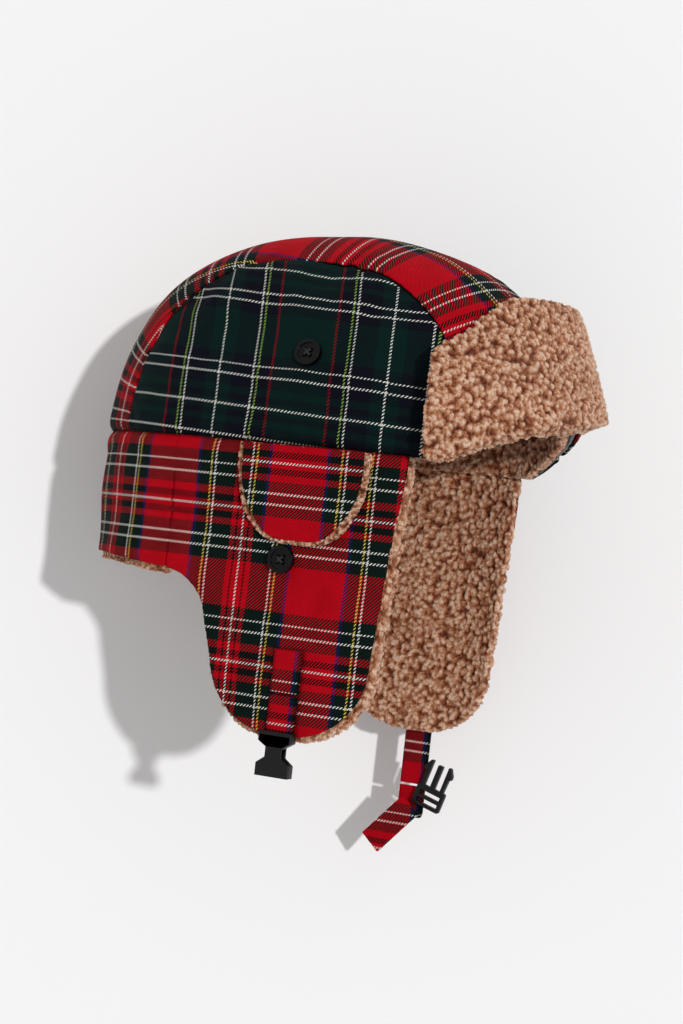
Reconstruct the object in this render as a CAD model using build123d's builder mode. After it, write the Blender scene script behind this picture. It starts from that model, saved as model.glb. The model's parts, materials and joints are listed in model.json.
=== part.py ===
"""Trapper hat: three-panel crown with a turned-up visor, a fixed neck curtain, two hanging ear flaps
with buttoned ear covers, and a chin strap that ends in the two halves of a side-release buckle.
Millimetres. +X front, +Y the wearer's left, +Z up. Origin in the middle of the head opening, at the
height of the seam between crown and band."""

import math
import os

from build123d import *

# Crown
CROWN_HALF_LENGTH = 118.0
CROWN_HALF_WIDTH = 80.0
CROWN_HEIGHT = 106.0
PROFILE_POWER = 2.3  # 2 is an ellipse, higher is squarer
CLOTH = 2.0
LINING = 4.0
BROW_X = CROWN_HALF_LENGTH - 42.0  # where the lower edge starts to rise to the brow
BROW_RISE = 28.0  # rise of the edge at the front
FACING = 6.0
FACING_HEIGHT = 20.0
# Side views of the two side panels' upper seams; the left one sits higher at the front
SIDE_PANELS = {
    "right": [(-82, 0), (-77, 32), (-60, 66), (-32, 84), (4, 87), (44, 79), (70, 58), (86, 26), (90, 0)],
    "left": [(-82, 0), (-77, 32), (-60, 66), (-30, 85), (10, 95), (48, 97), (76, 80), (90, 42), (94, 0)],
}

# Band: neck curtain and flaps hang from the crown's edge
PILE = 7.0
NECK_X = -47.4
NECK_DEPTH = 59.0
FLAP_X = -46.8
FLAP_FRONT_X = 68.0
FLAP_DEPTH = 133.0
FLAP_TIP_FRONT_X = 60.0
FLAP_TIP_BACK_X = -10.0
FLAP_NOTCH_X = -28.0
FLAP_NOTCH_Z = -(NECK_DEPTH + 7.0)
FLAP_BACK_Z = -(NECK_DEPTH + 3.0)
FLAP_CORNER = 34.0
NOTCH_CORNER = 24.0
SHELL_TOP = -4.6
PILE_TOP = -7.5

# Ear covers and buttons
COVER_BACK_X = -12.8
COVER_FRONT_X = 53.5
COVER_TOP = -5.2
COVER_BOTTOM = -45.0
COVER_STAND_OFF = 0.6
COVER_PILE = 2.4
COVER_CLOTH = 1.5
COVER_INSET = 1.8  # the pile shows this much round the cloth
BUTTON_DIAMETER = 12.5
BUTTON_THICKNESS = 3.0
BUTTON_X = 14.0
LOWER_BUTTON_Z = -52.2
UPPER_BUTTON_Z = 42.0
UPPER_BUTTON_TILT = 0.2 * CROWN_HALF_WIDTH  # the wider the crown, the more its side leans in
UPPER_BUTTON_Y = 0.94875 * CROWN_HALF_WIDTH  # the crown's half width at that height

# Visor, turned up against the crown
VISOR_CLOTH = 2.0
VISOR_PILE = 8.5
# The visor's back face: height, then how far it lies beyond the crown's front and side
VISOR_STAND_OFF = [(-8, 1.5, 8.0), (28, -1.8, 7.5), (60, -11.5, 4.0), (94, -28.0, 0.0)]
VISOR_LEVELS = [
    (z, CROWN_HALF_LENGTH + ahead, CROWN_HALF_WIDTH + beside) for z, ahead, beside in VISOR_STAND_OFF
]
# Side view of the visor, measured forward from the crown's front
VISOR_OUTLINE = [(-39, -4), (-42, 49), (-32, 57), (-22, 76), (-12, 80), (42, 80), (42, 44)]
VISOR_SIDE = [(CROWN_HALF_LENGTH + ahead, z) for ahead, z in VISOR_OUTLINE]
VISOR_CORNER = 8.0

# Chin strap
STRAP_X = 23.0
STRAP_WIDTH = 14.0
STRAP_THICKNESS = 1.6
STRAP_Y = CROWN_HALF_WIDTH + 0.6
SEWN_TOP = -92.5
SEWN_BOTTOM = -111.7
STRAP_TOP = -113.1
RIGHT_STRAP_BOTTOM = -129.2
LEFT_STRAP_BOTTOM = -161.5

# Side-release buckle
SOCKET_WIDTH = 16.5
SOCKET_WAIST = 8.3
SOCKET_LENGTH = 20.3
SOCKET_THICKNESS = 5.6
WALL = 1.1
BAR = 2.0
PLUG_WIDTH = 16.0
PLUG_THICKNESS = 3.0
PLUG_FRAME = 11.0
PLUG_TILT = 17.0
PRONG_LENGTH = 13.5
PRONG_WIDTH = 1.9
PLUG_X = 32.0
PLUG_Z = -172.5
PLUG_Y = CROWN_HALF_WIDTH - 1.2
TAIL_LENGTH = 30.0
TAIL_ANGLE = 42.0

BIG = 400.0
DOME_LEVELS = [0, 0.2, 0.4, 0.58, 0.73, 0.85, 0.93, 0.98, 0.995]
SIDES = {"right": -1, "left": 1}
os.makedirs("parts", exist_ok=True)


def slot_face(z, half_length, half_width):
    with BuildSketch(Plane.XY.offset(z)) as face:
        SlotOverall(2 * half_length, 2 * half_width)
    return face.sketch


def dome(offset, mode=Mode.ADD):
    """The crown's form, grown by offset all round."""
    sections = []
    for level in DOME_LEVELS:
        ratio = (1 - level**PROFILE_POWER) ** (1 / PROFILE_POWER)
        sections.append(
            slot_face(
                (CROWN_HEIGHT + offset) * level,
                (CROWN_HALF_LENGTH + offset) * ratio,
                (CROWN_HALF_WIDTH + offset) * ratio,
            )
        )
    loft(sections=sections, mode=mode)


def visor_form(offset, mode=Mode.ADD):
    """The visor's form, grown by offset all round."""
    sections = []
    for height, front, half_width in VISOR_LEVELS:
        half_length = half_width + CROWN_HALF_LENGTH - CROWN_HALF_WIDTH
        with BuildSketch(Plane.XY.offset(height)) as face:
            with Locations((front - half_length, 0)):
                SlotOverall(2 * (half_length + offset), 2 * (half_width + offset))
        sections.append(face.sketch)
    loft(sections=sections, mode=mode)


def wall(outer, inner, top, depth):
    """An upright ring under the crown's edge, between two insets."""
    length, width = CROWN_HALF_LENGTH, CROWN_HALF_WIDTH
    extrude(slot_face(top, length - outer, width - outer), amount=-depth)
    extrude(slot_face(top, length - inner, width - inner), amount=-depth, mode=Mode.SUBTRACT)


def prism(points, mode, rounded=()):
    """Cuts or keeps what lies inside a side view; rounded holds (corner, radius) pairs."""
    with BuildSketch(Plane.XZ) as view:
        with BuildLine():
            Polyline(*points, close=True)
        make_face()
        for (x, z), radius in rounded:
            fillet(view.vertices().sort_by_distance((x, z, 0))[0], radius)
    extrude(view.sketch, amount=BIG, both=True, mode=mode)


def panel_prism(name, mode):
    """Everything outward of a side panel's seam, on that side of the hat."""
    seam = SIDE_PANELS[name]
    with BuildSketch(Plane.XZ) as view:
        with BuildLine():
            Spline(*seam)
            Polyline(seam[-1], (seam[-1][0], -1), (seam[0][0], -1), seam[0])
        make_face()
    extrude(view.sketch, amount=-SIDES[name] * BIG, mode=mode)


def keep_side(side):
    with Locations((0, side * BIG / 2, 0)):
        Box(2 * BIG, BIG, 2 * BIG, mode=Mode.INTERSECT)


def brow_cut():
    slope = BROW_RISE / (CROWN_HALF_LENGTH - BROW_X)
    points = [(BROW_X, 0), (BROW_X + BIG, slope * BIG), (BROW_X + BIG, -BIG), (BROW_X, -BIG)]
    prism(points, Mode.SUBTRACT)


def flap_outline(top, side):
    """Side view of an ear flap, cut from the wall."""
    points = [
        (FLAP_FRONT_X, top),
        (FLAP_TIP_FRONT_X, -FLAP_DEPTH),
        (FLAP_TIP_BACK_X, -FLAP_DEPTH),
        (FLAP_NOTCH_X, FLAP_NOTCH_Z),
        (FLAP_X, FLAP_BACK_Z),
        (FLAP_X, top),
    ]
    corners = [(points[1], FLAP_CORNER), (points[2], FLAP_CORNER), (points[3], NOTCH_CORNER)]
    prism(points, Mode.INTERSECT, corners)
    keep_side(side)


def cover_outline(low, high, inset, side):
    """A cover's flat layer between two distances from the hat's middle."""
    middle = (COVER_BACK_X + COVER_FRONT_X) / 2
    back, front, bottom = COVER_BACK_X + inset, COVER_FRONT_X - inset, COVER_BOTTOM + inset
    with BuildSketch(Plane.XZ) as view:
        with BuildLine():
            line = Line((back, COVER_TOP), (front, COVER_TOP))
            Spline(
                line @ 1,
                (front - 2.5, COVER_TOP - 18),
                (front - 9, bottom + 9),
                (middle + 13, bottom + 1.2),
                (middle, bottom),
                (middle - 13, bottom + 1.2),
                (back + 9, bottom + 9),
                (back + 2.5, COVER_TOP - 18),
                line @ 0,
            )
        make_face()
    # Plane.XZ looks along -Y, so a left-hand layer is extruded by negative amounts
    extrude(view.sketch, amount=-side * high)
    extrude(view.sketch, amount=-side * low, mode=Mode.SUBTRACT)


def button(plane):
    """A four-hole button with a raised rim, its back on the plane."""
    with BuildSketch(plane) as disc:
        Circle(BUTTON_DIAMETER / 2)
        with GridLocations(3.0, 3.0, 2, 2):
            Circle(0.8, mode=Mode.SUBTRACT)
    extrude(disc.sketch, amount=BUTTON_THICKNESS)
    with BuildSketch(plane.offset(BUTTON_THICKNESS)) as dish:
        Circle(BUTTON_DIAMETER / 2 - 1.6)
    extrude(dish.sketch, amount=-0.9, mode=Mode.SUBTRACT)


def strap(side, top, bottom):
    with Locations((STRAP_X, side * (STRAP_Y + STRAP_THICKNESS / 2), (top + bottom) / 2)):
        Box(STRAP_WIDTH, STRAP_THICKNESS, top - bottom)


def tilted_plane(x, lean):
    """A plane facing the hat's middle at the plug, its own y leaning forward from upright."""
    lean = math.radians(lean)
    return Plane((x, PLUG_Y, PLUG_Z), x_dir=(math.cos(lean), 0, -math.sin(lean)), z_dir=(0, -1, 0))


def write(made, name):
    made.part.label = name
    export_step(made.part, f"parts/{name}.step")


# Crown
for name, side in SIDES.items():
    with BuildPart() as crown_side_panel:
        dome(0)
        dome(-CLOTH, Mode.SUBTRACT)
        brow_cut()
        panel_prism(name, Mode.INTERSECT)
        keep_side(side)
    write(crown_side_panel, f"crown_side_panel_{name}")

with BuildPart() as crown_center_panel:
    dome(0)
    dome(-CLOTH, Mode.SUBTRACT)
    brow_cut()
    for name in SIDES:
        panel_prism(name, Mode.SUBTRACT)
write(crown_center_panel, "crown_center_panel")

with BuildPart() as crown_lining:
    dome(-CLOTH)
    dome(-CLOTH - LINING, Mode.SUBTRACT)
    brow_cut()
write(crown_lining, "crown_lining")

with BuildPart() as brow_facing:
    facing = CLOTH + LINING
    wall(facing, facing + FACING, FACING_HEIGHT + BROW_RISE, FACING_HEIGHT + BROW_RISE)
    dome(-facing, Mode.INTERSECT)
    brow_cut()
    rise = BROW_RISE / (CROWN_HALF_LENGTH - BROW_X)
    prism(
        [
            (-BIG, 0),
            (BROW_X, 0),
            (BROW_X + BIG, rise * BIG),
            (BROW_X + BIG, rise * BIG + FACING_HEIGHT),
            (BROW_X, FACING_HEIGHT),
            (-BIG, FACING_HEIGHT),
        ],
        Mode.INTERSECT,
    )
write(brow_facing, "brow_facing")

# Neck curtain
for name, outer, inner in (("neck_shell", 0, CLOTH), ("neck_pile", CLOTH, CLOTH + PILE)):
    with BuildPart() as neck:
        wall(outer, inner, 0, NECK_DEPTH + 3)
        prism(
            [(-BIG, 0), (NECK_X, 0), (NECK_X, -NECK_DEPTH - 3), (-90, -NECK_DEPTH), (-BIG, -NECK_DEPTH)],
            Mode.INTERSECT,
        )
    write(neck, name)

# Visor
rounded_corners = [(VISOR_SIDE[0], 4.0), (VISOR_SIDE[1], VISOR_CORNER)]
for name, inner, outer in (
    ("visor_shell", 0, VISOR_CLOTH),
    ("visor_pile", VISOR_CLOTH, VISOR_CLOTH + VISOR_PILE),
):
    with BuildPart() as visor:
        visor_form(outer)
        visor_form(inner, Mode.SUBTRACT)
        prism(VISOR_SIDE, Mode.INTERSECT, rounded_corners)
    write(visor, name)

for name, side in SIDES.items():
    # Ear flap
    layers = (("shell", 0, CLOTH, SHELL_TOP), ("pile", CLOTH, CLOTH + PILE, PILE_TOP))
    for layer, outer, inner, top in layers:
        with BuildPart() as flap:
            wall(outer, inner, top, FLAP_DEPTH + top)
            flap_outline(top, side)
        write(flap, f"ear_flap_{layer}_{name}")

    # Ear cover
    pile_start = CROWN_HALF_WIDTH + COVER_STAND_OFF
    cloth_start = pile_start + COVER_PILE
    for layer, low, high, inset in (
        ("pile", pile_start, cloth_start, 0),
        ("shell", cloth_start, cloth_start + COVER_CLOTH, COVER_INSET),
    ):
        with BuildPart() as cover:
            cover_outline(low, high, inset, side)
        write(cover, f"ear_cover_{layer}_{name}")

    # Buttons
    with BuildPart() as button_lower:
        seat = (BUTTON_X, side * CROWN_HALF_WIDTH, LOWER_BUTTON_Z)
        button(Plane(seat, x_dir=(1, 0, 0), z_dir=(0, side, 0)))
    write(button_lower, f"button_lower_{name}")
    with BuildPart() as button_upper:
        facing_out = Vector(0, side, 0).rotate(Axis.X, side * UPPER_BUTTON_TILT)
        seat = (BUTTON_X, side * UPPER_BUTTON_Y, UPPER_BUTTON_Z)
        button(Plane(seat, x_dir=(1, 0, 0), z_dir=facing_out))
    write(button_upper, f"button_upper_{name}")

    # Sewn end of the strap, and its hanging length
    with BuildPart() as strap_anchor:
        strap(side, SEWN_TOP, SEWN_BOTTOM)
    write(strap_anchor, f"strap_anchor_{name}")
    with BuildPart() as hanging_strap:
        strap(side, STRAP_TOP, RIGHT_STRAP_BOTTOM if side < 0 else LEFT_STRAP_BOTTOM)
    write(hanging_strap, f"strap_{name}")

# Buckle socket: a bar for the strap, a waist with side windows, and a mouth at the foot
socket_y = -(CROWN_HALF_WIDTH + 0.6 + SOCKET_THICKNESS / 2)
with BuildPart() as buckle_socket:
    top = RIGHT_STRAP_BOTTOM - 0.1
    half, waist = SOCKET_WIDTH / 2, SOCKET_WAIST / 2
    with BuildSketch(Plane.XZ.offset(-socket_y - SOCKET_THICKNESS / 2)) as outline:
        with BuildLine():
            Polyline(
                (STRAP_X - half, top),
                (STRAP_X + half, top),
                (STRAP_X + half, top - 4.5),
                (STRAP_X + waist, top - 7),
                (STRAP_X + waist, top - 11.5),
                (STRAP_X + half, top - 14.5),
                (STRAP_X + half, top - SOCKET_LENGTH),
                (STRAP_X - half, top - SOCKET_LENGTH),
                (STRAP_X - half, top - 14.5),
                (STRAP_X - waist, top - 11.5),
                (STRAP_X - waist, top - 7),
                (STRAP_X - half, top - 4.5),
                close=True,
            )
        make_face()
    extrude(outline.sketch, amount=SOCKET_THICKNESS)
    with BuildSketch(Plane.XZ.offset(-socket_y - SOCKET_THICKNESS / 2)) as slit:
        with Locations((STRAP_X, top - 3.1)):
            Rectangle(SOCKET_WIDTH - 2.4, 2.2)
    extrude(slit.sketch, amount=SOCKET_THICKNESS, mode=Mode.SUBTRACT)
    hollow = SOCKET_LENGTH - 7.5
    with Locations((STRAP_X, socket_y, top - SOCKET_LENGTH + hollow / 2)):
        Box(
            SOCKET_WIDTH - 2 * WALL,
            SOCKET_THICKNESS - 2 * WALL,
            hollow,
            mode=Mode.SUBTRACT,
        )
write(buckle_socket, "buckle_socket")

# Buckle plug: adjuster frame with bars, guide tongue and two barbed prongs, pointing up and forward
plug_plane = tilted_plane(PLUG_X, PLUG_TILT)
with BuildPart() as buckle_plug:
    half = PLUG_WIDTH / 2
    with BuildSketch(plug_plane.offset(-PLUG_THICKNESS / 2)) as frame:
        with Locations((0, PLUG_FRAME / 2)):
            RectangleRounded(PLUG_WIDTH, PLUG_FRAME, 1.2)
        with Locations((0, PLUG_FRAME * 0.27), (0, PLUG_FRAME * 0.64)):
            Rectangle(PLUG_WIDTH - 2 * BAR, PLUG_FRAME * 0.2, mode=Mode.SUBTRACT)
        with Locations((0, PLUG_FRAME + PRONG_LENGTH * 0.45)):
            Rectangle(2.6, PRONG_LENGTH * 0.9 + 0.6)
        for end in (-1, 1):
            with BuildLine():
                Polyline(
                    (end * (half - PRONG_WIDTH - 1.6), PLUG_FRAME - 0.6),
                    (end * (half - 1.6), PLUG_FRAME - 0.6),
                    (end * (half - 1.2), PLUG_FRAME + PRONG_LENGTH * 0.55),
                    (end * half, PLUG_FRAME + PRONG_LENGTH * 0.58),
                    (end * half, PLUG_FRAME + PRONG_LENGTH * 0.72),
                    (end * (half - 2.2), PLUG_FRAME + PRONG_LENGTH),
                    (end * (half - 1.6 - PRONG_WIDTH), PLUG_FRAME + PRONG_LENGTH),
                    close=True,
                )
            make_face()
    extrude(frame.sketch, amount=PLUG_THICKNESS)
write(buckle_plug, "buckle_plug")

# Loop round the adjuster bar, and the loose tail
with BuildPart() as strap_loop:
    outside = STRAP_Y + STRAP_THICKNESS
    radius = (outside - (PLUG_Y - PLUG_THICKNESS / 2 - STRAP_THICKNESS - 0.3)) / 2
    centre = outside - radius
    low = PLUG_Z - 2.5
    with BuildSketch(Plane.YZ.offset(STRAP_X - STRAP_WIDTH / 2)) as bend:
        with Locations((centre, low)):
            Circle(radius)
            Circle(radius - STRAP_THICKNESS, mode=Mode.SUBTRACT)
            Rectangle(4 * radius, 4 * radius, align=(Align.CENTER, Align.MIN), mode=Mode.SUBTRACT)
        with Locations((outside - STRAP_THICKNESS / 2, low)):
            Rectangle(STRAP_THICKNESS, LEFT_STRAP_BOTTOM - 1.1 - low, align=(Align.CENTER, Align.MIN))
    extrude(bend.sketch, amount=STRAP_WIDTH)
write(strap_loop, "strap_loop")

tail_plane = tilted_plane(STRAP_X + 2, TAIL_ANGLE)
with BuildPart() as strap_tail:
    with BuildSketch(tail_plane.offset(PLUG_THICKNESS / 2 + STRAP_THICKNESS + 0.5)) as tail:
        with Locations((0, 1.0)):
            Rectangle(STRAP_WIDTH - 1, TAIL_LENGTH, align=(Align.CENTER, Align.MAX))
    extrude(tail.sketch, amount=STRAP_THICKNESS)
write(strap_tail, "strap_tail")
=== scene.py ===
"""Looks for the tartan trapper hat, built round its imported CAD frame.

Cloth and pile pieces are remeshed from their CAD solids, shaped by vertex moves, and given cloth
coordinates in millimetres (attribute "cloth") that the woven tartan is drawn in. Every other length is
in metres, except where a name ends in _MM. Heights are measured from the seam between crown and band."""

import json
import math

import bmesh
import bpy
import numpy as np
from mathutils import Matrix, Vector, kdtree, noise

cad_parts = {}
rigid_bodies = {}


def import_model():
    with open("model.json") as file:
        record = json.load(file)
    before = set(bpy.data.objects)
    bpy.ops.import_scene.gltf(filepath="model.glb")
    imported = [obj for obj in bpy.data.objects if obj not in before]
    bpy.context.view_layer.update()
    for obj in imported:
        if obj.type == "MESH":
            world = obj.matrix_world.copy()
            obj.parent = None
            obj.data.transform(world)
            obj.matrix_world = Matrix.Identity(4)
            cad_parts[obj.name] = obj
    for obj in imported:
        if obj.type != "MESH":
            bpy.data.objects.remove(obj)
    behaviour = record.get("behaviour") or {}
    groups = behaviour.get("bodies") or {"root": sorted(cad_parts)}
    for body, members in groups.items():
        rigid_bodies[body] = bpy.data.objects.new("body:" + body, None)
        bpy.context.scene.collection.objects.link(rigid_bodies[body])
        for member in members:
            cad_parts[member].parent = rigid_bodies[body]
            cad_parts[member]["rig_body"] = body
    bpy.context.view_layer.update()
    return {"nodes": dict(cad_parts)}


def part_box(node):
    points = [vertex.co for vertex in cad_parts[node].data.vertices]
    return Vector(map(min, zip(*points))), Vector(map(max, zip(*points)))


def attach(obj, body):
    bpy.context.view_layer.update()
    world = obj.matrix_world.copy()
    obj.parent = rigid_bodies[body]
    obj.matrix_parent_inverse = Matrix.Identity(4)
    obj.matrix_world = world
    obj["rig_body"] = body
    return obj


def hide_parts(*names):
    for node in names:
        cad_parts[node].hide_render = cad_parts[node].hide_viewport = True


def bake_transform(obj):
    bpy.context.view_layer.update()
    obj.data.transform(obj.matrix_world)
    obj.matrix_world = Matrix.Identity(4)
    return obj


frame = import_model()
nodes = frame["nodes"]
scene = bpy.context.scene
MM = 0.001
SIDES = {"right": -1, "left": 1}
NOISE_SEED = 1
noise.seed_set(NOISE_SEED)  # noise_vector follows the clock without it

# ---------------------------------------------------------------- the hat's own form, from the frame
panel_low, panel_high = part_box("crown_center_panel")
flap_low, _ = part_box("ear_flap_shell_right")
visor_low, visor_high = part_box("visor_shell")
HALF_LENGTH = -panel_low.x
HALF_WIDTH = -flap_low.y
HEIGHT = panel_high.z
FLAP_DEPTH = -flap_low.z
STRAIGHT = HALF_LENGTH - HALF_WIDTH  # half-length of the straight sides of the plan
PROFILE_POWER = 2.3  # of the superellipse that the dome follows


def smooth_step(low, high, value):
    t = np.clip((value - low) / (high - low), 0, 1)
    return t * t * (3 - 2 * t)


# ---------------------------------------------------------------- meshes
def link(name, mesh):
    obj = bpy.data.objects.new(name, mesh)
    scene.collection.objects.link(obj)
    return obj


def settle(obj):
    """Applies the object's modifiers to its mesh."""
    graph = bpy.context.evaluated_depsgraph_get()
    mesh = bpy.data.meshes.new_from_object(obj.evaluated_get(graph))
    obj.modifiers.clear()
    obj.data = mesh
    return obj


def copied(name, node):
    """A welded copy of a CAD node's mesh."""
    mesh = nodes[node].data.copy()
    mesh.materials.clear()
    work = bmesh.new()
    work.from_mesh(mesh)
    bmesh.ops.remove_doubles(work, verts=work.verts, dist=1e-6)
    bmesh.ops.dissolve_limit(work, angle_limit=math.radians(1), verts=work.verts, edges=work.edges)
    work.to_mesh(mesh)
    work.free()
    return link(name, mesh)


def remesh(obj, voxel, smoothing=3):
    """Gives the object an even, dense mesh."""
    voxels = obj.modifiers.new("voxels", "REMESH")
    voxels.mode = "VOXEL"
    voxels.voxel_size = voxel
    soften = obj.modifiers.new("soften", "SMOOTH")
    soften.iterations = smoothing
    soften.factor = 0.5
    settle(obj)
    obj.data.shade_smooth()
    return obj


def remeshed(name, node, voxel, smoothing=3):
    """An even, dense mesh of a CAD node's solid."""
    return remesh(copied(name, node), voxel, smoothing)


def points_of(obj):
    co = np.empty(len(obj.data.vertices) * 3)
    obj.data.vertices.foreach_get("co", co)
    return co.reshape(-1, 3)


def normals_of(obj):
    no = np.empty(len(obj.data.vertices) * 3)
    obj.data.vertex_normals.foreach_get("vector", no)
    return no.reshape(-1, 3)


def put_points(obj, co):
    obj.data.vertices.foreach_set("co", co.ravel())
    obj.data.update()


def put_vectors(obj, name, values):
    layer = obj.data.attributes.new(name, "FLOAT_VECTOR", "POINT")
    layer.data.foreach_set("vector", np.ascontiguousarray(values, float).ravel())


def put_values(obj, name, values):
    layer = obj.data.attributes.get(name) or obj.data.attributes.new(name, "FLOAT", "POINT")
    layer.data.foreach_set("value", np.ascontiguousarray(values, float))


# ---------------------------------------------------------------- cloth coordinates, in millimetres
BAND_START, BAND_RISE = -31.5, 6.0  # where the pattern starts on the band, flaps and neck
SIDE_START, SIDE_RISE = 68, 30.6  # and on the crown's side panels
TOP_START, TOP_RISE = 37, 48.8  # on its middle panel and the visor
COVER_START, COVER_RISE = -19, 54.6  # on the ear covers
STRAP_START, STRAP_RISE = -12.5, 31.0  # and on the chin straps

SIDE_SPREAD = 0.95  # cloth used for each length of a side panel
SIDE_LEAN = 0.42  # how far its stripes lean back for each length that the crown leans in
SIDE_LEAN_LIMIT = 0.5  # leaning in that still counts, in half-widths
SIDE_FALL = 0.045  # and how far they fall for each length towards the front

TOP_SPREAD = 0.84  # cloth used for each length along the middle panel
TOP_SKEW = 0.15  # the slant of its stripes
TOP_ARC, TOP_ARC_SPREAD = 1.12, 1.05  # its section's radius in half-widths, and the cloth used round it


def around(co):
    """Distance along the oval plan from the middle of the nearer side, negative to the back."""
    x, y = co[:, 0], co[:, 1]
    bend = np.arctan2(np.maximum(np.abs(x) - STRAIGHT, 0), np.abs(y))
    run = np.minimum(np.abs(x), STRAIGHT) + bend * HALF_WIDTH
    return np.sign(x) * run


def band_cloth(co, start=BAND_START, rise=BAND_RISE):
    """Stripes that run round the hat and straight down."""
    return np.stack([around(co) / MM + start, co[:, 2] / MM + rise, 0 * co[:, 0]], 1)


def profile_length(share):
    """Arc length up the dome's side for a height share 0..1."""
    level = np.linspace(0, 1, 400)
    ratio = (1 - level**PROFILE_POWER) ** (1 / PROFILE_POWER)
    step = np.hypot(np.diff(level * HEIGHT), np.diff(ratio * HALF_WIDTH))
    return np.interp(share, level, np.concatenate([[0], np.cumsum(step)]))


def side_cloth(co, start=0.0, rise=0.0):
    """Stripes that lean back as the crown leans in, and fall a little towards the front."""
    share = np.clip(co[:, 2] / HEIGHT, 0, 1)
    lean_in = HALF_WIDTH * (1 - (1 - share**PROFILE_POWER) ** (1 / PROFILE_POWER))
    across = SIDE_SPREAD * co[:, 0] + SIDE_LEAN * np.minimum(lean_in, SIDE_LEAN_LIMIT * HALF_WIDTH)
    up_side = profile_length(share) + SIDE_FALL * co[:, 0]
    return np.stack([across / MM + start, up_side / MM + rise, 0 * share], 1)


def length_cloth(co, start=TOP_START, rise=TOP_RISE):
    """Stripes that run from front to back over the crown, and across it."""
    angle = np.arctan2(co[:, 2] / HEIGHT, co[:, 0] / HALF_LENGTH)
    turn = np.linspace(0, math.pi, 600)
    ux, uz = np.cos(turn), np.sin(turn)
    scale = (np.abs(ux) ** PROFILE_POWER + uz**PROFILE_POWER) ** (-1 / PROFILE_POWER)
    px, pz = ux * scale * HALF_LENGTH, uz * scale * HEIGHT
    run = np.concatenate([[0], np.cumsum(np.hypot(np.diff(px), np.diff(pz)))])
    along = np.interp(angle, turn, run)
    arc = np.arcsin(np.clip(co[:, 1] / (HALF_WIDTH * TOP_ARC), -1, 1))
    across = HALF_WIDTH * arc * TOP_ARC_SPREAD + TOP_SKEW * co[:, 0]
    return np.stack([across / MM + start, TOP_SPREAD * along / MM + rise, 0 * along], 1)


# ---------------------------------------------------------------- materials
def srgb(*values):
    return tuple(((v / 255 + 0.055) / 1.055) ** 2.4 if v > 10 else v / 255 / 12.92 for v in values) + (1.0,)


def grey(level):
    return (level, level, level, 1.0)


def new_material(name, base, roughness, sheen=0.0, specular=0.5):
    mat = bpy.data.materials.new(name)
    mat.use_nodes = True
    shader = mat.node_tree.nodes["Principled BSDF"]
    shader.inputs["Base Color"].default_value = base
    shader.inputs["Roughness"].default_value = roughness
    shader.inputs["Specular IOR Level"].default_value = specular
    if sheen:
        shader.inputs["Sheen Weight"].default_value = sheen
        shader.inputs["Sheen Roughness"].default_value = 0.5
    return mat, shader


class Nodes:
    """Short forms for building a material's nodes."""

    def __init__(self, mat):
        self.tree = mat.node_tree

    def add(self, kind, **settings):
        node = self.tree.nodes.new(kind)
        for key, value in settings.items():
            setattr(node, key, value)
        return node

    def join(self, source, target):
        self.tree.links.new(source, target)

    def feed(self, socket, value):
        """Sets a socket to a plain value, or links it."""
        if isinstance(value, (int, float, tuple)):
            socket.default_value = value
        else:
            self.join(value, socket)

    def math(self, operation, a, b=0.0):
        node = self.add("ShaderNodeMath", operation=operation)
        self.feed(node.inputs[0], a)
        self.feed(node.inputs[1], b)
        return node.outputs[0]

    def swing(self, value, scale):
        """A noise's swing about its middle, scaled."""
        return self.math("MULTIPLY", self.math("SUBTRACT", value, 0.5), scale)

    def cycle(self, value, repeat):
        """Where a value stands in its repeat, 0..1."""
        return self.math("FRACT", self.math("DIVIDE", value, repeat))

    def mix(self, share, a, b, blend="MIX"):
        node = self.add("ShaderNodeMix", data_type="RGBA", blend_type=blend)
        for index, value in ((0, share), (6, a), (7, b)):
            self.feed(node.inputs[index], value)
        return node.outputs[2]

    def shaded(self, colour, shade):
        return self.mix(1.0, colour, shade, "MULTIPLY")

    def ramp(self, value, stops, interpolation="LINEAR"):
        node = self.add("ShaderNodeValToRGB")
        node.color_ramp.interpolation = interpolation
        elements = node.color_ramp.elements
        while len(elements) > 1:
            elements.remove(elements[-1])
        for index, (place, colour) in enumerate(stops):
            item = elements[0] if index == 0 else elements.new(place)
            item.position = place
            item.color = colour
        self.join(value, node.inputs[0])
        return node.outputs[0]

    def noise(self, vector, scale, detail=2.0, roughness=0.5):
        node = self.add("ShaderNodeTexNoise")
        node.inputs["Scale"].default_value = scale
        node.inputs["Detail"].default_value = detail
        node.inputs["Roughness"].default_value = roughness
        self.join(vector, node.inputs["Vector"])
        return node.outputs[0]

    def lightness(self, colour):
        node = self.add("ShaderNodeRGBToBW")
        self.join(colour, node.inputs[0])
        return node.outputs[0]

    def value(self, name):
        return self.add("ShaderNodeAttribute", attribute_name=name).outputs["Fac"]

    def vector(self, name):
        return self.add("ShaderNodeAttribute", attribute_name=name).outputs["Vector"]

    def own_place(self):
        return self.add("ShaderNodeTexCoord").outputs["Object"]

    def bump(self, height, strength, distance, shader):
        node = self.add("ShaderNodeBump")
        node.inputs["Strength"].default_value = strength
        node.inputs["Distance"].default_value = distance
        self.join(height, node.inputs["Height"])
        self.join(node.outputs[0], shader.inputs["Normal"])


# ---------------------------------------------------------------- tartan
RED = srgb(204, 5, 26)
DEEP_RED = srgb(150, 12, 22)
BLUE = srgb(28, 30, 96)
BLACK = srgb(12, 8, 10)
FOREST = srgb(8, 26, 22)
YELLOW = srgb(222, 200, 84)
WHITE = srgb(236, 234, 226)
GREEN = srgb(6, 36, 32)
NAVY = srgb(12, 14, 26)
LIME = srgb(150, 184, 84)
# colour of the painted shade along seams, along the straps' edges and round their sewn ends
PAINTED_SHADE = (0.35, 0.33, 0.33, 1.0)

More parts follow.
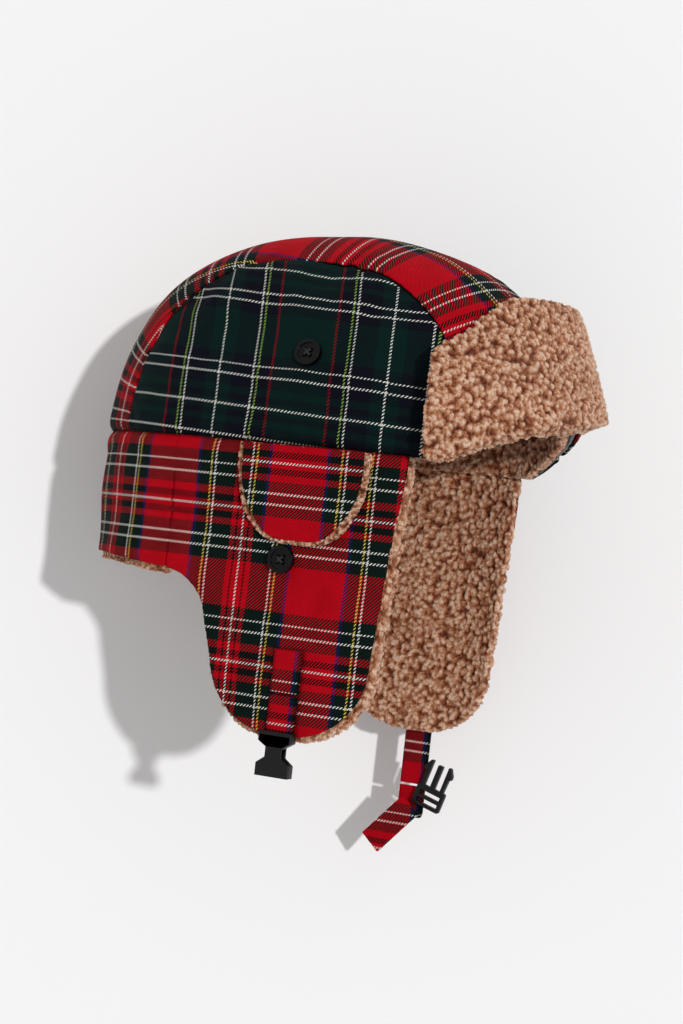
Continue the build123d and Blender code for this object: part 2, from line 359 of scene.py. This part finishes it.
TWILL_MM = 1.65  # from one diagonal line of the weave to the next
WEFT_SHARE = 0.52  # where in that repeat the weft comes over the warp
LEAN_GAIN, LEAN_MOST = 3.0, 0.13  # how much further the darker of two crossing threads shows, which paints shade on the lighter one
PALE_THREAD = 0.3  # threads lighter than this don't lean


def stripe_stops(stripes):
    """(repeat in millimetres, ramp stops) for a list of (width in millimetres, colour)."""
    total = sum(width for width, _ in stripes)
    stops, place = [], 0.0
    for width, colour in stripes:
        stops.append((place / total, colour))
        place += width
    return total, stops


def mirrored(half, centre):
    return half + centre + half[::-1]


def weft_over_warp(n, warp, weft, diagonal):
    """1 where the weft covers the warp, a little more of it where it is the darker one, which paints shade
    on the lighter thread.
    """
    warp_light, weft_light = n.lightness(warp), n.lightness(weft)
    lean = n.math("MULTIPLY", n.math("SUBTRACT", weft_light, warp_light), LEAN_GAIN)
    lean = n.math("MAXIMUM", n.math("MINIMUM", lean, LEAN_MOST), -LEAN_MOST)
    both_dark = n.math("LESS_THAN", n.math("MAXIMUM", warp_light, weft_light), PALE_THREAD)
    return n.math("GREATER_THAN", diagonal, n.math("ADD", n.math("MULTIPLY", lean, both_dark), WEFT_SHARE))


def tartan(name, warp, weft):
    """Woven twill: warp and weft stripes that cross, with diagonal twill lines where they differ."""
    mat, shader = new_material(name, grey(0.5), 0.82, specular=0.06)
    n = Nodes(mat)
    cloth = n.vector("cloth")
    place = n.add("ShaderNodeSeparateXYZ")
    n.join(cloth, place.inputs[0])
    across, along = place.outputs[0], place.outputs[1]
    warp_repeat, warp_stops = stripe_stops(warp)
    weft_repeat, weft_stops = stripe_stops(weft)
    warp_colour = n.ramp(n.cycle(across, warp_repeat), warp_stops, "CONSTANT")
    weft_colour = n.ramp(n.cycle(along, weft_repeat), weft_stops, "CONSTANT")
    diagonal = n.cycle(n.math("SUBTRACT", across, along), TWILL_MM)
    colour = n.mix(weft_over_warp(n, warp_colour, weft_colour, diagonal), warp_colour, weft_colour)
    # painted shade where each thread dips under the next, and a little painted light on the rest of it
    dip_place = n.math("PINGPONG", n.math("MULTIPLY", diagonal, 2.0), 0.5)
    colour = n.shaded(colour, n.ramp(dip_place, [(0.0, grey(0.1)), (0.27, grey(1.14))]))
    # the dye is slightly uneven, and the wool has light and dark fibres
    patch = n.noise(cloth, 0.08, 3.0)
    colour = n.shaded(colour, n.ramp(patch, [(0.25, grey(0.86)), (0.75, grey(1.06))]))
    fibre = n.noise(cloth, 2.4, 2.0)
    colour = n.shaded(colour, n.ramp(fibre, [(0.32, grey(0.55)), (0.68, grey(1.15))]))
    # painted shade along the seams, along the straps' edges and round the straps' sewn ends
    colour = n.shaded(colour, n.ramp(n.value("seam"), [(0, grey(1.0)), (1, PAINTED_SHADE)]))
    n.join(colour, shader.inputs["Base Color"])
    threads = n.math("ADD", n.math("PINGPONG", diagonal, 0.5), n.math("MULTIPLY", fibre, 0.5))
    n.bump(threads, 0.5, 0.0004, shader)
    return mat


def check_weft(ground, dark, cross):
    """One repeat of the weft: the ground, and a cross stripe between two dark bands with white lines."""
    edge = [(5, dark), (1, WHITE), (4, dark), (1, WHITE), (5, dark)]
    return [(21, ground)] + edge + cross + edge


RED_WARP = mirrored(
    [(14, RED), (1.6, BLUE), (5.1, FOREST), (1, YELLOW), (1.2, FOREST), (1, WHITE), (10.1, FOREST)],
    [(2.3, RED), (1, BLACK), (2.2, RED), (1, WHITE), (2.2, RED), (1, BLACK), (2.3, RED)],
)
RED_CROSS = [(3, RED), (3, BLACK), (2, RED), (1, WHITE), (1.7, RED), (3, BLACK), (3.6, RED)]
GREEN_WARP = mirrored(
    [(14, GREEN), (1.2, DEEP_RED), (5.5, NAVY), (1, LIME), (1.2, NAVY), (1, WHITE), (10.1, NAVY)],
    [(5.5, GREEN), (1, WHITE), (5.5, GREEN)],
)
GREEN_CROSS = [(3, GREEN), (3, NAVY), (2, GREEN), (1, WHITE), (1.7, GREEN), (3, NAVY), (3.6, GREEN)]
red_tartan = tartan("tartan_red", RED_WARP, check_weft(RED, FOREST, RED_CROSS))
green_tartan = tartan("tartan_green", GREEN_WARP, check_weft(GREEN, NAVY, GREEN_CROSS))


# ---------------------------------------------------------------- pile, lining, plastic and thread
# the sherpa's tan, with painted shade at low pile height and painted highlight on the nubs' tops
SHERPA_TONE_WITH_PAINTED_SHADE = [
    (0.0, srgb(70, 26, 8)),
    (0.28, srgb(138, 70, 38)),
    (0.58, srgb(198, 136, 98)),
    (0.9, srgb(250, 214, 186)),
]


def sherpa_material():
    """Curly pile, with painted shade between the nubs and painted highlight on top of them."""
    mat, shader = new_material("sherpa_tan", srgb(180, 125, 85), 0.9, sheen=0.12, specular=0.14)
    n = Nodes(mat)
    place = n.vector("rest")
    fuzz = n.noise(place, 1300.0, 3.0, 0.65)
    strand = n.noise(place, 520.0, 3.0, 0.7)
    rough = n.math("ADD", n.swing(fuzz, 0.7), n.swing(strand, 0.8))
    colour = n.ramp(n.math("ADD", n.value("pile"), rough), SHERPA_TONE_WITH_PAINTED_SHADE)
    patch = n.ramp(n.noise(place, 60.0, 2.0), [(0.3, (0.88, 0.86, 0.84, 1)), (0.7, grey(1.05))])
    n.join(n.shaded(colour, patch), shader.inputs["Base Color"])
    n.bump(n.math("ADD", fuzz, strand), 0.9, 0.0014, shader)
    return mat


def lining_material():
    mat, shader = new_material("lining_black", srgb(22, 22, 24), 0.5, sheen=0.1, specular=0.4)
    n = Nodes(mat)
    fine = n.noise(n.vector("rest"), 700.0, 3.0)
    n.join(n.ramp(fine, [(0.3, srgb(14, 14, 16)), (0.7, srgb(34, 34, 38))]), shader.inputs["Base Color"])
    n.bump(fine, 0.4, 0.0003, shader)
    return mat


def plastic_material(name, base, roughness, grain, specular):
    mat, shader = new_material(name, base, roughness, specular=specular)
    n = Nodes(mat)
    fine = n.noise(n.own_place(), grain, 3.0)
    spread = n.ramp(fine, [(0.3, grey(roughness - 0.08)), (0.7, grey(roughness + 0.1))])
    n.join(spread, shader.inputs["Roughness"])
    lighter = tuple(c * 1.6 for c in base[:3]) + (1,)
    n.join(n.ramp(fine, [(0.35, base), (0.8, lighter)]), shader.inputs["Base Color"])
    n.bump(fine, 0.15, 0.0002, shader)
    return mat


def thread_material():
    mat, shader = new_material("thread_black", srgb(20, 20, 22), 0.6, specular=0.3)
    n = Nodes(mat)
    twist = n.noise(n.own_place(), 2600.0, 2.0)
    n.join(n.ramp(twist, [(0.3, srgb(8, 8, 9)), (0.7, srgb(44, 44, 46))]), shader.inputs["Base Color"])
    n.bump(twist, 0.6, 0.0003, shader)
    return mat


sherpa = sherpa_material()
lining_black = lining_material()
buckle_black = plastic_material("buckle_black", srgb(10, 10, 12), 0.42, 1500.0, 0.2)
button_black = plastic_material("button_black", srgb(4, 4, 5), 0.24, 900.0, 0.14)
thread_black = thread_material()

# ---------------------------------------------------------------- shaping
SEAM_DEPTH = 0.0011
SEAM_REACH = 0.0022
SEAM_LINE = 0.4 * SEAM_REACH  # half-width of the painted shade along a seam
PUCKER_REACH = 5 * SEAM_REACH
PUCKER_SIZE, PUCKER_LIFT, PUCKER_SWING = 0.006, 0.0004, 0.0009
SWAY_SIZE, SWAY = 1.6, 0.45  # how the curls' places wander, in nubs
FINE_SIZE = 0.42  # the finer curls, in nubs
NUB_EDGE, FINE_EDGE = 1.25, 1.2  # how soon each kind falls off
NUB_SHARE, FINE_SHARE = 0.72, 0.28
NUB_FLOOR = 0.55  # the pile height that stays where the CAD face was
BACKED_SINK = 0.0009  # keeps pile clear of the cloth that covers it


def bell(distance, reach):
    """1 at no distance, falling off over a reach."""
    return np.exp(-((distance / reach) ** 2))


def outward(co):
    """Unit vectors out of the hat."""
    out = co.copy()
    out[:, 0] = np.sign(co[:, 0]) * np.maximum(np.abs(co[:, 0]) - STRAIGHT, 0)
    out[:, 2] = np.maximum(co[:, 2], 0)
    return out / np.maximum(np.linalg.norm(out, axis=1, keepdims=True), 1e-6)


def soft_noise(co, size, seed):
    shift = Vector((seed * 17.3, seed * 5.1, seed * 9.7))
    return np.array([noise.noise(Vector(p) / size + shift) for p in co])


def wrinkle(obj, amount, size, seed):
    """Shallow unevenness over a cloth piece. Both faces move together, out of the hat or into it."""
    co = points_of(obj)
    put_points(obj, co + outward(co) * (amount * soft_noise(co, size, seed))[:, None])


def tree_of(points):
    tree = kdtree.KDTree(len(points))
    for index, point in enumerate(points):
        tree.insert(point, index)
    tree.balance()
    return tree


def seam_line(node_a, node_b, spacing=0.0005):
    """Points along the edges that two CAD pieces share."""
    a = nodes[node_a].data
    tree = tree_of([vertex.co for vertex in nodes[node_b].data.vertices])
    shared = [tree.find(v.co)[2] < 2e-5 for v in a.vertices]
    points = []
    for edge in a.edges:
        i, j = edge.vertices
        if shared[i] and shared[j]:
            start, end = a.vertices[i].co, a.vertices[j].co
            count = max(1, int((end - start).length / spacing))
            points += [start.lerp(end, k / count) for k in range(count + 1)]
    return points


def distance_to(tree, co):
    return np.array([tree.find(p)[2] for p in co])


def sew(obj, distance):
    """Draws the cloth in along a seam, with small puckers, and paints shade along the seam's line."""
    co = points_of(obj)
    near = bell(distance, SEAM_REACH)
    wide = bell(distance, PUCKER_REACH) - near
    pucker = soft_noise(co, PUCKER_SIZE, 31)
    push = -SEAM_DEPTH * near + wide * (PUCKER_LIFT + PUCKER_SWING * pucker)
    put_values(obj, "seam", bell(distance, SEAM_LINE))
    put_points(obj, co + outward(co) * push[:, None])


def curl(obj, depth, size, seed, backed=False):
    """Curly pile: knobbly nubs with finer ones on them. Backed pile keeps behind the cloth outside it."""
    co, no = points_of(obj), normals_of(obj)
    put_vectors(obj, "rest", co)
    shift = Vector((seed * 3.7, seed * 11.9, seed * 7.3))
    height = np.empty(len(co))
    for index, p in enumerate(co):
        point = Vector(p)
        sway = noise.noise_vector(point / (size * SWAY_SIZE) + shift) * SWAY
        near = noise.voronoi(point / size + shift + sway)[0]
        fine = noise.voronoi(point / (size * FINE_SIZE) + shift)[0]
        nub = 1 - min(near[0] * NUB_EDGE, 1.0) ** 2
        small = 1 - min(fine[0] * FINE_EDGE, 1.0) ** 2
        height[index] = NUB_SHARE * nub + FINE_SHARE * small
    # the nubs' height, which the sherpa's colour also uses for painted shade and highlight
    put_values(obj, "pile", height)
    push = depth * (height - NUB_FLOOR)
    if backed:
        against_cloth = np.einsum("ij,ij->i", no, outward(co)) > 0.5
        push = np.where(against_cloth, -BACKED_SINK, push)
    put_points(obj, co + no * push[:, None])


def wear(obj, material):
    obj.data.materials.clear()
    obj.data.materials.append(material)


def dress(obj, material, body, node):
    """Gives a piece its material and body, and hides its CAD node."""
    wear(obj, material)
    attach(obj, body)
    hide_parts(node)


def body_of(node):
    return nodes[node]["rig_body"]


CLOTH_VOXEL = 0.0009
CENTER_VOXEL = CLOTH_VOXEL * 1.2
LINING_VOXEL = 0.0018
THIN_PILE_VOXEL = 0.001  # brow facing and neck
FLAP_PILE_VOXEL = 0.0008
VISOR_VOXEL = 0.0007
COVER_VOXEL = 0.0005
STRAP_VOXEL = 0.0004
NUB = 0.0027  # across one curl of the pile
COVER_NUB = 0.0018

# ---------------------------------------------------------------- crown
BROW = 0.08  # in front of this the crown meets the visor, and no seam shows at the band
QUILT_MM = 40
QUILT_PUFF, QUILT_LINE = 0.0016, 0.7
LINING_SINK = 0.0004
panel_seam = []
for name in SIDES:
    panel_seam += seam_line(f"crown_side_panel_{name}", "crown_center_panel")
panel_seam_tree = tree_of(panel_seam)


def crown_seams(co):
    """Distance to the nearest seam: the panels' or the one at the band."""
    band_seam = np.abs(co[:, 2]) + np.where(co[:, 0] > BROW, 1, 0)
    return np.minimum(distance_to(panel_seam_tree, co), band_seam)


def side_panel(name, side):
    node = f"crown_side_panel_{name}"
    panel = remeshed(f"side_panel_{name}", node, CLOTH_VOXEL)
    co = points_of(panel)
    put_vectors(panel, "cloth", side_cloth(co, SIDE_START, SIDE_RISE))
    sew(panel, crown_seams(co))
    wrinkle(panel, amount=0.002, size=0.026, seed=3 + side)
    wrinkle(panel, amount=0.0007, size=0.009, seed=53 + side)
    dress(panel, green_tartan, "crown", node)


def center_panel():
    panel = remeshed("center_panel", "crown_center_panel", CENTER_VOXEL)
    co = points_of(panel)
    put_vectors(panel, "cloth", length_cloth(co))
    sew(panel, crown_seams(co))
    wrinkle(panel, amount=0.0014, size=0.035, seed=8)
    dress(panel, red_tartan, "crown", "crown_center_panel")


def quilted_lining():
    """Black lining that puffs inwards between diamond quilting lines."""
    lining = remeshed("quilted_lining", "crown_lining", LINING_VOXEL)
    co = points_of(lining)
    put_vectors(lining, "rest", co)
    quilt = side_cloth(co)
    rising = np.abs(np.sin((quilt[:, 0] + quilt[:, 1]) * math.pi / QUILT_MM))
    falling = np.abs(np.sin((quilt[:, 0] - quilt[:, 1]) * math.pi / QUILT_MM))
    puff = QUILT_PUFF * ((rising * falling) ** 0.5 - QUILT_LINE)
    no = normals_of(lining)
    facing_in = np.einsum("ij,ij->i", no, co) < 0
    put_points(lining, co + no * (np.where(facing_in, puff, -LINING_SINK))[:, None])
    dress(lining, lining_black, "crown", "crown_lining")


def brow_facing():
    pile = remeshed("brow_facing_pile", "brow_facing", THIN_PILE_VOXEL)
    curl(pile, depth=0.002, size=NUB, seed=5)
    dress(pile, sherpa, "crown", "brow_facing")


for name, side in SIDES.items():
    side_panel(name, side)
center_panel()
quilted_lining()
brow_facing()

# ---------------------------------------------------------------- neck
NECK_REACH = 0.0006  # closes the gap to the flaps, so that the tartan runs on
REACH_FROM, REACH_FULL = 0.006, 0.001  # behind the neck's front edge
NECK_PEEK, PEEK_FADE = 0.003, 0.02  # pile showing below the neck's hem, and the height it comes from


def neck_cloth():
    neck = remeshed("neck_cloth", "neck_shell", CLOTH_VOXEL)
    co = points_of(neck)
    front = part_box("neck_shell")[1].x
    co[:, 0] += NECK_REACH * smooth_step(front - REACH_FROM, front - REACH_FULL, co[:, 0])
    put_points(neck, co)
    put_vectors(neck, "cloth", band_cloth(co))
    sew(neck, np.abs(co[:, 2]))
    wrinkle(neck, amount=0.002, size=0.03, seed=12)
    dress(neck, red_tartan, "crown", "neck_shell")


def neck_sherpa():
    neck = remeshed("neck_sherpa", "neck_pile", THIN_PILE_VOXEL)
    co = points_of(neck)
    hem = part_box("neck_pile")[0].z
    co[:, 2] -= NECK_PEEK * (1 - smooth_step(hem, hem + PEEK_FADE, co[:, 2]))
    put_points(neck, co)
    curl(neck, depth=0.0021, size=NUB, seed=6, backed=True)
    dress(neck, sherpa, "crown", "neck_pile")


neck_cloth()
neck_sherpa()

# ---------------------------------------------------------------- visor
# The pile wraps round the visor's lower edge, so the shell is cut along a line above that edge.
WRAP = 0.015  # height of the cut above the visor's lower edge, at its back end
EDGE_RISE, EDGE_RUN = 48, 81  # the slope of that edge, seen from the side
FAR_LIFT = 0.02  # how far the far lower edge is pushed up
LIFT_FROM, LIFT_BELOW = -0.02, 0.055  # across the hat, and in height
CLOTH_PROUD, PROUD_FADE = 0.0025, 0.02  # cloth standing above the pile at the top, and where it starts
wrap_point = Vector((visor_low.x, 0, visor_low.z + WRAP))
wrap_normal = Vector((-EDGE_RISE / EDGE_RUN, 0, 1)).normalized()


def cut_at_wrap(obj, keep_above):
    work = bmesh.new()
    work.from_mesh(obj.data)
    everything = work.verts[:] + work.edges[:] + work.faces[:]
    cut = bmesh.ops.bisect_plane(
        work, geom=everything, plane_co=wrap_point, plane_no=wrap_normal,
        clear_outer=not keep_above, clear_inner=keep_above,
    )
    edges = [item for item in cut["geom_cut"] if isinstance(item, bmesh.types.BMEdge)]
    bmesh.ops.holes_fill(work, edges=edges)
    work.to_mesh(obj.data)
    work.free()


def add_mesh(obj, other):
    """Moves another object's mesh into this one."""
    work = bmesh.new()
    work.from_mesh(obj.data)
    work.from_mesh(other.data)
    work.to_mesh(obj.data)
    work.free()
    bpy.data.objects.remove(other)


def tuck(obj):
    """Lifts the visor's far lower edge."""
    co = points_of(obj)
    far = smooth_step(LIFT_FROM, visor_high.y, co[:, 1])
    low = 1 - smooth_step(visor_low.z, LIFT_BELOW, co[:, 2])
    co[:, 2] += FAR_LIFT * far * low
    put_points(obj, co)


def visor_cloth():
    visor = copied("visor_cloth", "visor_shell")
    cut_at_wrap(visor, True)
    remesh(visor, VISOR_VOXEL)
    tuck(visor)
    co = points_of(visor)
    co[:, 2] += CLOTH_PROUD * smooth_step(visor_high.z - PROUD_FADE, visor_high.z, co[:, 2])
    put_points(visor, co)
    put_vectors(visor, "cloth", length_cloth(co))
    dress(visor, red_tartan, "visor", "visor_shell")


def visor_sherpa():
    visor = copied("visor_sherpa", "visor_pile")
    wrap = copied("visor_wrap", "visor_shell")
    cut_at_wrap(wrap, False)
    add_mesh(visor, wrap)
    remesh(visor, VISOR_VOXEL, smoothing=12)
    tuck(visor)
    curl(visor, depth=0.0028, size=NUB, seed=7)
    dress(visor, sherpa, "visor", "visor_pile")


visor_cloth()
visor_sherpa()

# ---------------------------------------------------------------- flaps, covers and straps
COVER_NARROWING = 0.965  # leaves more pile showing at the cover's sides
HEM_INSET = 0.0017  # the pile shows this far beyond the cloth's front and lower hem
FRONT_HEM_FROM, FRONT_HEM_FULL = 0.01, 0.04  # depths between which the front hem draws in
FRONT_HEM_X = 0.045  # the front hem's cloth is in front of this
LOWER_HEM_FROM = 0.07  # the depth where the lower hem starts to draw in
STRAP_SHADOW_REACH, STRAP_SHADOW_STRENGTH = 0.0013, 0.8  # the painted shadow on the flap round a strap's sewn end
EDGE_REACH, EDGE_SHADE = 0.0012, 0.75  # and the painted shade along a strap's edges


def to_seam(obj, top, foot):
    """Stretches a piece's top edge up to a height near the seam, from a height where it stays put."""
    co = points_of(obj)
    highest = co[:, 2].max()
    co[:, 2] += (top - highest) * smooth_step(foot, highest, co[:, 2])
    put_points(obj, co)


def hang(obj, material, node):
    """A flap piece, sewn to the crown: gives it its material, bakes its place into its mesh and hides its
    CAD node.
    """
    wear(obj, material)
    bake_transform(obj)
    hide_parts(node)


def sewn_on(obj, material, node):
    """A cover layer, sewn to the flap at its top edge: gives it its material, bakes its place into its mesh
    and hides its CAD node.
    """
    wear(obj, material)
    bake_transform(obj)
    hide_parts(node)


def flap_cloth(name, side):
    flap = remeshed(f"flap_cloth_{name}", f"ear_flap_shell_{name}", CLOTH_VOXEL)
    to_seam(flap, top=0.0002, foot=-0.024)
    co = points_of(flap)
    below = smooth_step(FRONT_HEM_FROM, FRONT_HEM_FULL, -co[:, 2])
    co[:, 0] -= HEM_INSET * below * smooth_step(0.0, FRONT_HEM_X, co[:, 0])
    co[:, 2] += HEM_INSET * smooth_step(LOWER_HEM_FROM, FLAP_DEPTH, -co[:, 2])
    put_points(flap, co)
    put_vectors(flap, "cloth", band_cloth(co))
    to_band = np.abs(co[:, 2])
    sew(flap, to_band)
    # painted shadow on the flap round the strap's sewn end
    anchor_low, anchor_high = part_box(f"strap_anchor_{name}")
    beside = np.maximum(anchor_low.x - co[:, 0], co[:, 0] - anchor_high.x)
    above = co[:, 2] - anchor_high.z
    off_strap = np.hypot(np.maximum(beside, 0), np.maximum(above, 0))
    strap_shadow = STRAP_SHADOW_STRENGTH * bell(off_strap, STRAP_SHADOW_REACH)
    put_values(flap, "seam", np.maximum(bell(to_band, SEAM_LINE), strap_shadow))
    wrinkle(flap, amount=0.0024, size=0.034, seed=20 + side)
    wrinkle(flap, amount=0.0008, size=0.011, seed=60 + side)
    hang(flap, red_tartan, f"ear_flap_shell_{name}")


def flap_sherpa(name, side):
    flap = remeshed(f"flap_sherpa_{name}", f"ear_flap_pile_{name}", FLAP_PILE_VOXEL, smoothing=8)
    to_seam(flap, top=-0.0003, foot=-0.04)
    curl(flap, depth=0.0028, size=NUB, seed=9 + side, backed=True)
    hang(flap, sherpa, f"ear_flap_pile_{name}")


def cover_cloth(name, side):
    cover = remeshed(f"cover_cloth_{name}", f"ear_cover_shell_{name}", COVER_VOXEL)
    to_seam(cover, top=-0.0006, foot=-0.02)
    co = points_of(cover)
    middle = co[:, 0].mean()
    co[:, 0] = middle + COVER_NARROWING * (co[:, 0] - middle)
    put_points(cover, co)
    put_vectors(cover, "cloth", band_cloth(co, COVER_START, COVER_RISE))
    wrinkle(cover, amount=0.0008, size=0.02, seed=70 + side)
    sewn_on(cover, red_tartan, f"ear_cover_shell_{name}")


def cover_sherpa(name, side):
    cover = remeshed(f"cover_sherpa_{name}", f"ear_cover_pile_{name}", COVER_VOXEL)
    to_seam(cover, top=-0.0008, foot=-0.02)
    curl(cover, depth=0.0011, size=COVER_NUB, seed=13 + side)
    sewn_on(cover, sherpa, f"ear_cover_pile_{name}")


def strap_cloth(name, node):
    """A flat strap: its own stretch of tartan, with painted shade along its edges."""
    strap = remeshed(name, node, STRAP_VOXEL)
    co = points_of(strap)
    put_vectors(strap, "cloth", band_cloth(co, STRAP_START, STRAP_RISE))
    low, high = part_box(node)
    to_edge = np.minimum(co[:, 0] - low.x, high.x - co[:, 0])
    put_values(strap, "seam", EDGE_SHADE * bell(to_edge, EDGE_REACH))
    dress(strap, red_tartan, body_of(node), node)


for name, side in SIDES.items():
    flap_cloth(name, side)
    flap_sherpa(name, side)
    cover_cloth(name, side)
    cover_sherpa(name, side)
    for piece in ("strap_anchor", "strap"):
        strap_cloth(f"{piece}_cloth_{name}", f"{piece}_{name}")
for piece in ("strap_loop", "strap_tail"):
    strap_cloth(f"{piece}_cloth", piece)

# ---------------------------------------------------------------- buttons, their thread and the buckle
THREAD_RADIUS = 0.00042
THREAD_REACH = 0.0021  # from the button's middle to past a hole
THREAD_RINGS, THREAD_SIDES = 13, 8
BUTTON_EDGE, SOCKET_EDGE, PLUG_EDGE = 0.0004, 0.0004, 0.0003  # radii of the moulded edges


def hard_piece(node, material, edge):
    """A CAD piece with its edges rounded."""
    obj = copied(f"{node}_moulded", node)
    bevel = obj.modifiers.new("edges", "BEVEL")
    bevel.width = edge
    bevel.segments = 3
    bevel.limit_method = "ANGLE"
    bevel.angle_limit = math.radians(35)
    settle(obj)
    obj.data.shade_smooth()
    obj.data.set_sharp_from_angle(angle=math.radians(40))
    dress(obj, material, body_of(node), node)


def button_face(node):
    """(middle, unit normal out of the hat, half thickness) of a button, which is a flat disc."""
    co = np.array([v.co for v in nodes[node].data.vertices])
    middle = Vector((co.min(0) + co.max(0)) / 2)
    _, _, axes = np.linalg.svd(co - co.mean(0), full_matrices=False)
    normal = Vector(axes[2])
    if normal.y * middle.y < 0:
        normal.negate()
    return middle, normal, ((co - np.array(middle)) @ np.array(normal)).max()


def add_thread(work, middle, way, normal, thick):
    """One thread over a button, as a bent tube that dives into a hole at each end."""
    side_way = normal.cross(way)
    rings = []
    for share in np.linspace(-1, 1, THREAD_RINGS):
        hump = thick + THREAD_RADIUS * (0.5 - 2.2 * share**4)
        centre = middle + way * (THREAD_REACH * share) + normal * hump
        ring = []
        for k in range(THREAD_SIDES):
            a = math.tau * k / THREAD_SIDES
            offset = 1.3 * math.cos(a) * side_way + math.sin(a) * normal
            ring.append(work.verts.new(centre + THREAD_RADIUS * offset))
        rings.append(ring)
    for one, two in zip(rings, rings[1:]):
        for k in range(THREAD_SIDES):
            after = (k + 1) % THREAD_SIDES
            work.faces.new((one[k], one[after], two[after], two[k]))
    work.faces.new(rings[0][::-1])
    work.faces.new(rings[-1])


def thread_cross(node):
    """The crossed thread that holds a four-hole button."""
    middle, normal, thick = button_face(node)
    across = normal.cross(Vector((0, 0, 1))).normalized()
    along = normal.cross(across)
    work = bmesh.new()
    for turn in (45, 135):
        angle = math.radians(turn)
        add_thread(work, middle, math.cos(angle) * across + math.sin(angle) * along, normal, thick)
    bmesh.ops.recalc_face_normals(work, faces=work.faces)
    mesh = bpy.data.meshes.new(f"{node}_thread")
    work.to_mesh(mesh)
    work.free()
    mesh.shade_smooth()
    mesh.materials.append(thread_black)
    cross = link(f"{node}_thread", mesh)
    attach(cross, body_of(node))


for name in SIDES:
    thread_cross(f"button_upper_{name}")
    thread_cross(f"button_lower_{name}")
    hard_piece(f"button_upper_{name}", button_black, BUTTON_EDGE)
    hard_piece(f"button_lower_{name}", button_black, BUTTON_EDGE)
hard_piece("buckle_socket", buckle_black, SOCKET_EDGE)
hard_piece("buckle_plug", buckle_black, PLUG_EDGE)

# ---------------------------------------------------------------- camera, backdrop and light
AZIMUTH, ELEVATION, ROLL = math.radians(25), math.radians(-0.5), math.radians(6.4)
DISTANCE = 1.1
LENS, SENSOR = 79.3, 36
AIM_DROP = 0.0273  # how far below the seam's height the camera aims
BACKDROP_DEPTH, BACKDROP_HALF, BACKDROP_ALBEDO = 0.1, 1.5, 0.95
SUN_STRENGTH, SUN_SPREAD = 1.6, math.radians(2)
SUN_RIGHT, SUN_UP = 0.4, 0.14  # where the sun stands, for each length towards the camera
AMBIENT, SEEN = 0.5, 0.9  # what lights the hat, and what the camera and reflections see
look = Vector((
    -math.sin(AZIMUTH) * math.cos(ELEVATION),
    math.cos(AZIMUTH) * math.cos(ELEVATION),
    -math.sin(ELEVATION),
))
level_right = look.cross(Vector((0, 0, 1))).normalized()
level_up = level_right.cross(look)
right = math.cos(ROLL) * level_right + math.sin(ROLL) * level_up
up = -math.sin(ROLL) * level_right + math.cos(ROLL) * level_up


def facing_camera(origin):
    """A frame that stands square to the camera's view."""
    turn = Matrix((right, up, -look)).transposed().to_4x4()
    turn.translation = origin
    return turn


def add_camera():
    camera = bpy.data.objects.new("camera", bpy.data.cameras.new("camera"))
    camera.data.lens = LENS
    camera.data.sensor_width = SENSOR
    camera.matrix_world = facing_camera(-AIM_DROP * up - DISTANCE * look)
    scene.collection.objects.link(camera)
    scene.camera = camera


def backdrop_material():
    """Pale paint that is clear from behind, so that the hat can be seen from any side."""
    mat, shader = new_material("backdrop_pale", grey(BACKDROP_ALBEDO), 0.9)
    n = Nodes(mat)
    clear = n.add("ShaderNodeBsdfTransparent")
    choose = n.add("ShaderNodeMixShader")
    n.join(n.add("ShaderNodeNewGeometry").outputs["Backfacing"], choose.inputs[0])
    n.join(shader.outputs[0], choose.inputs[1])
    n.join(clear.outputs[0], choose.inputs[2])
    n.join(choose.outputs[0], n.tree.nodes["Material Output"].inputs["Surface"])
    return mat


def add_backdrop():
    mesh = bpy.data.meshes.new("backdrop")
    half = BACKDROP_HALF
    corners = [(-half, -half, 0), (half, -half, 0), (half, half, 0), (-half, half, 0)]
    mesh.from_pydata(corners, [], [(0, 1, 2, 3)])
    mesh.materials.append(backdrop_material())
    backdrop = link("backdrop", mesh)
    backdrop.matrix_world = facing_camera(look * BACKDROP_DEPTH)


def add_sun():
    sun = bpy.data.objects.new("key", bpy.data.lights.new("key", "SUN"))
    sun.data.energy = SUN_STRENGTH
    sun.data.angle = SUN_SPREAD
    toward = (SUN_RIGHT * right + SUN_UP * up - look).normalized()
    sun.rotation_mode = "QUATERNION"
    sun.rotation_quaternion = toward.to_track_quat("Z", "Y")
    scene.collection.objects.link(sun)


def add_world():
    world = bpy.data.worlds.new("studio")
    world.use_nodes = True
    background = world.node_tree.nodes["Background"]
    background.inputs["Color"].default_value = grey(1.0)
    n = Nodes(world)
    rays = n.add("ShaderNodeLightPath").outputs
    mirrored_or_clear = n.math("MAXIMUM", rays["Is Glossy Ray"], rays["Is Transmission Ray"])
    seen = n.math("MAXIMUM", rays["Is Camera Ray"], mirrored_or_clear)
    strength = n.math("ADD", n.math("MULTIPLY", seen, SEEN - AMBIENT), AMBIENT)
    n.join(strength, background.inputs["Strength"])
    scene.world = world


add_camera()
add_backdrop()
add_sun()
add_world()
scene.view_settings.view_transform = "Standard"
